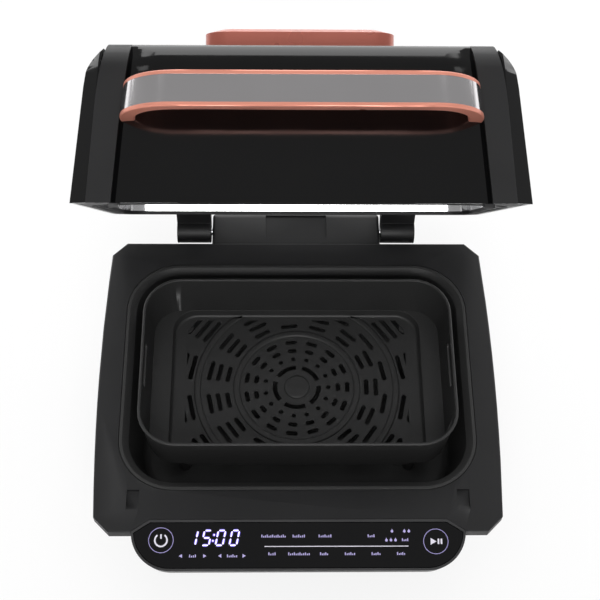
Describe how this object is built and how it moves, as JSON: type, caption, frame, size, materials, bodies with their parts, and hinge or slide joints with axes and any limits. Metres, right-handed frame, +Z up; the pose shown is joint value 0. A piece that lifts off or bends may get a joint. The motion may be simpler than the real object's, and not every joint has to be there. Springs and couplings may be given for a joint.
{
  "type": "air fryer grill",
  "caption": "Countertop air fryer grill with a hinged lid, bowed front handle, lift-out pot and slotted basket, and a tilted touch panel.",
  "frame": {"origin": "middle of the floor plate's underside, under the middle of the deck", "axes": "+Z up, +X to the user's right, -Y to the front where the touch panel is"},
  "size_m": [0.389, 0.477, 0.4861],
  "materials": {
    "housing_matte": "matte black moulded plastic",
    "lid_gloss": "polished black plastic",
    "touch_black_glass": "black printed glass",
    "rose_gold": "satin rose-gold lacquer",
    "brushed_plate": "brushed steel",
    "liner_steel": "bright sheet steel",
    "nonstick_coat": "black non-stick coat on sheet metal",
    "soft_rubber": "dark rubber",
    "circuit_board": "lacquered board",
    "clock_face": "display module",
    "heater_sheath": "heat-darkened steel tube",
    "ceramic": "white ceramic",
    "zinc_steel": "zinc-plated steel",
    "motor_steel": "grey motor can",
    "fan_aluminium": "plain aluminium"
  },
  "bodies": {
    "base": {"base_housing": "housing_matte", "base_screws": "zinc_steel", "cavity_liner": "liner_steel", "clock_display": "clock_face", "control_housing": "housing_matte", "cord_gland": "soft_rubber", "deck_cover": "housing_matte", "display_board": "circuit_board", "floor_plate": "housing_matte", "heat_shield": "liner_steel", "hinge_pins": "zinc_steel", "hinge_springs": "zinc_steel", "hinge_tower": "housing_matte", "pin_brackets": "zinc_steel", "power_board": "circuit_board", "rubber_feet": "soft_rubber", "touch_glass": "touch_black_glass"},
    "lid": {"lid_middle_cover": "lid_gloss", "lid_left_rail": "housing_matte", "lid_right_rail": "housing_matte", "lid_left_cheek": "lid_gloss", "lid_right_cheek": "lid_gloss", "lid_frame": "housing_matte", "lid_liner": "liner_steel", "lid_gasket": "soft_rubber", "lid_screws": "zinc_steel", "fan_guard": "liner_steel", "heater_element": "heater_sheath", "heater_bushes": "ceramic", "motor_bracket": "liner_steel", "fan_motor": "motor_steel", "temperature_probe": "liner_steel", "vent_housing": "rose_gold", "vent_plate": "brushed_plate", "handle_frame": "rose_gold", "handle_inlay": "brushed_plate", "handle_screws": "zinc_steel", "hinge_arms": "housing_matte"},
    "fan": {"fan_impeller": "fan_aluminium", "motor_shaft": "zinc_steel", "cooling_fan": "housing_matte"},
    "pot": {"cooking_pot": "nonstick_coat"},
    "basket": {"crisper_basket": "nonstick_coat"}
  },
  "joints": [
    {"name": "lid_hinge", "type": "hinge", "parent": "base", "child": "lid", "pos_m": [0, 0.182, 0.112], "axis": [-1, 0, 0], "range_deg": [-58, 12]},
    {"name": "fan_spin", "type": "hinge", "parent": "lid", "child": "fan", "pos_m": [0, 0.15456, 0.30121], "axis": [0, 0.848, 0.5299], "continuous": true},
    {"name": "pot_lift", "type": "slide", "parent": "base", "child": "pot", "axis": [0, 0, 1], "range_m": [0, 0.011]},
    {"name": "basket_lift", "type": "slide", "parent": "pot", "child": "basket", "axis": [0, 0, 1], "range_m": [0, 0.016]}
  ]
}
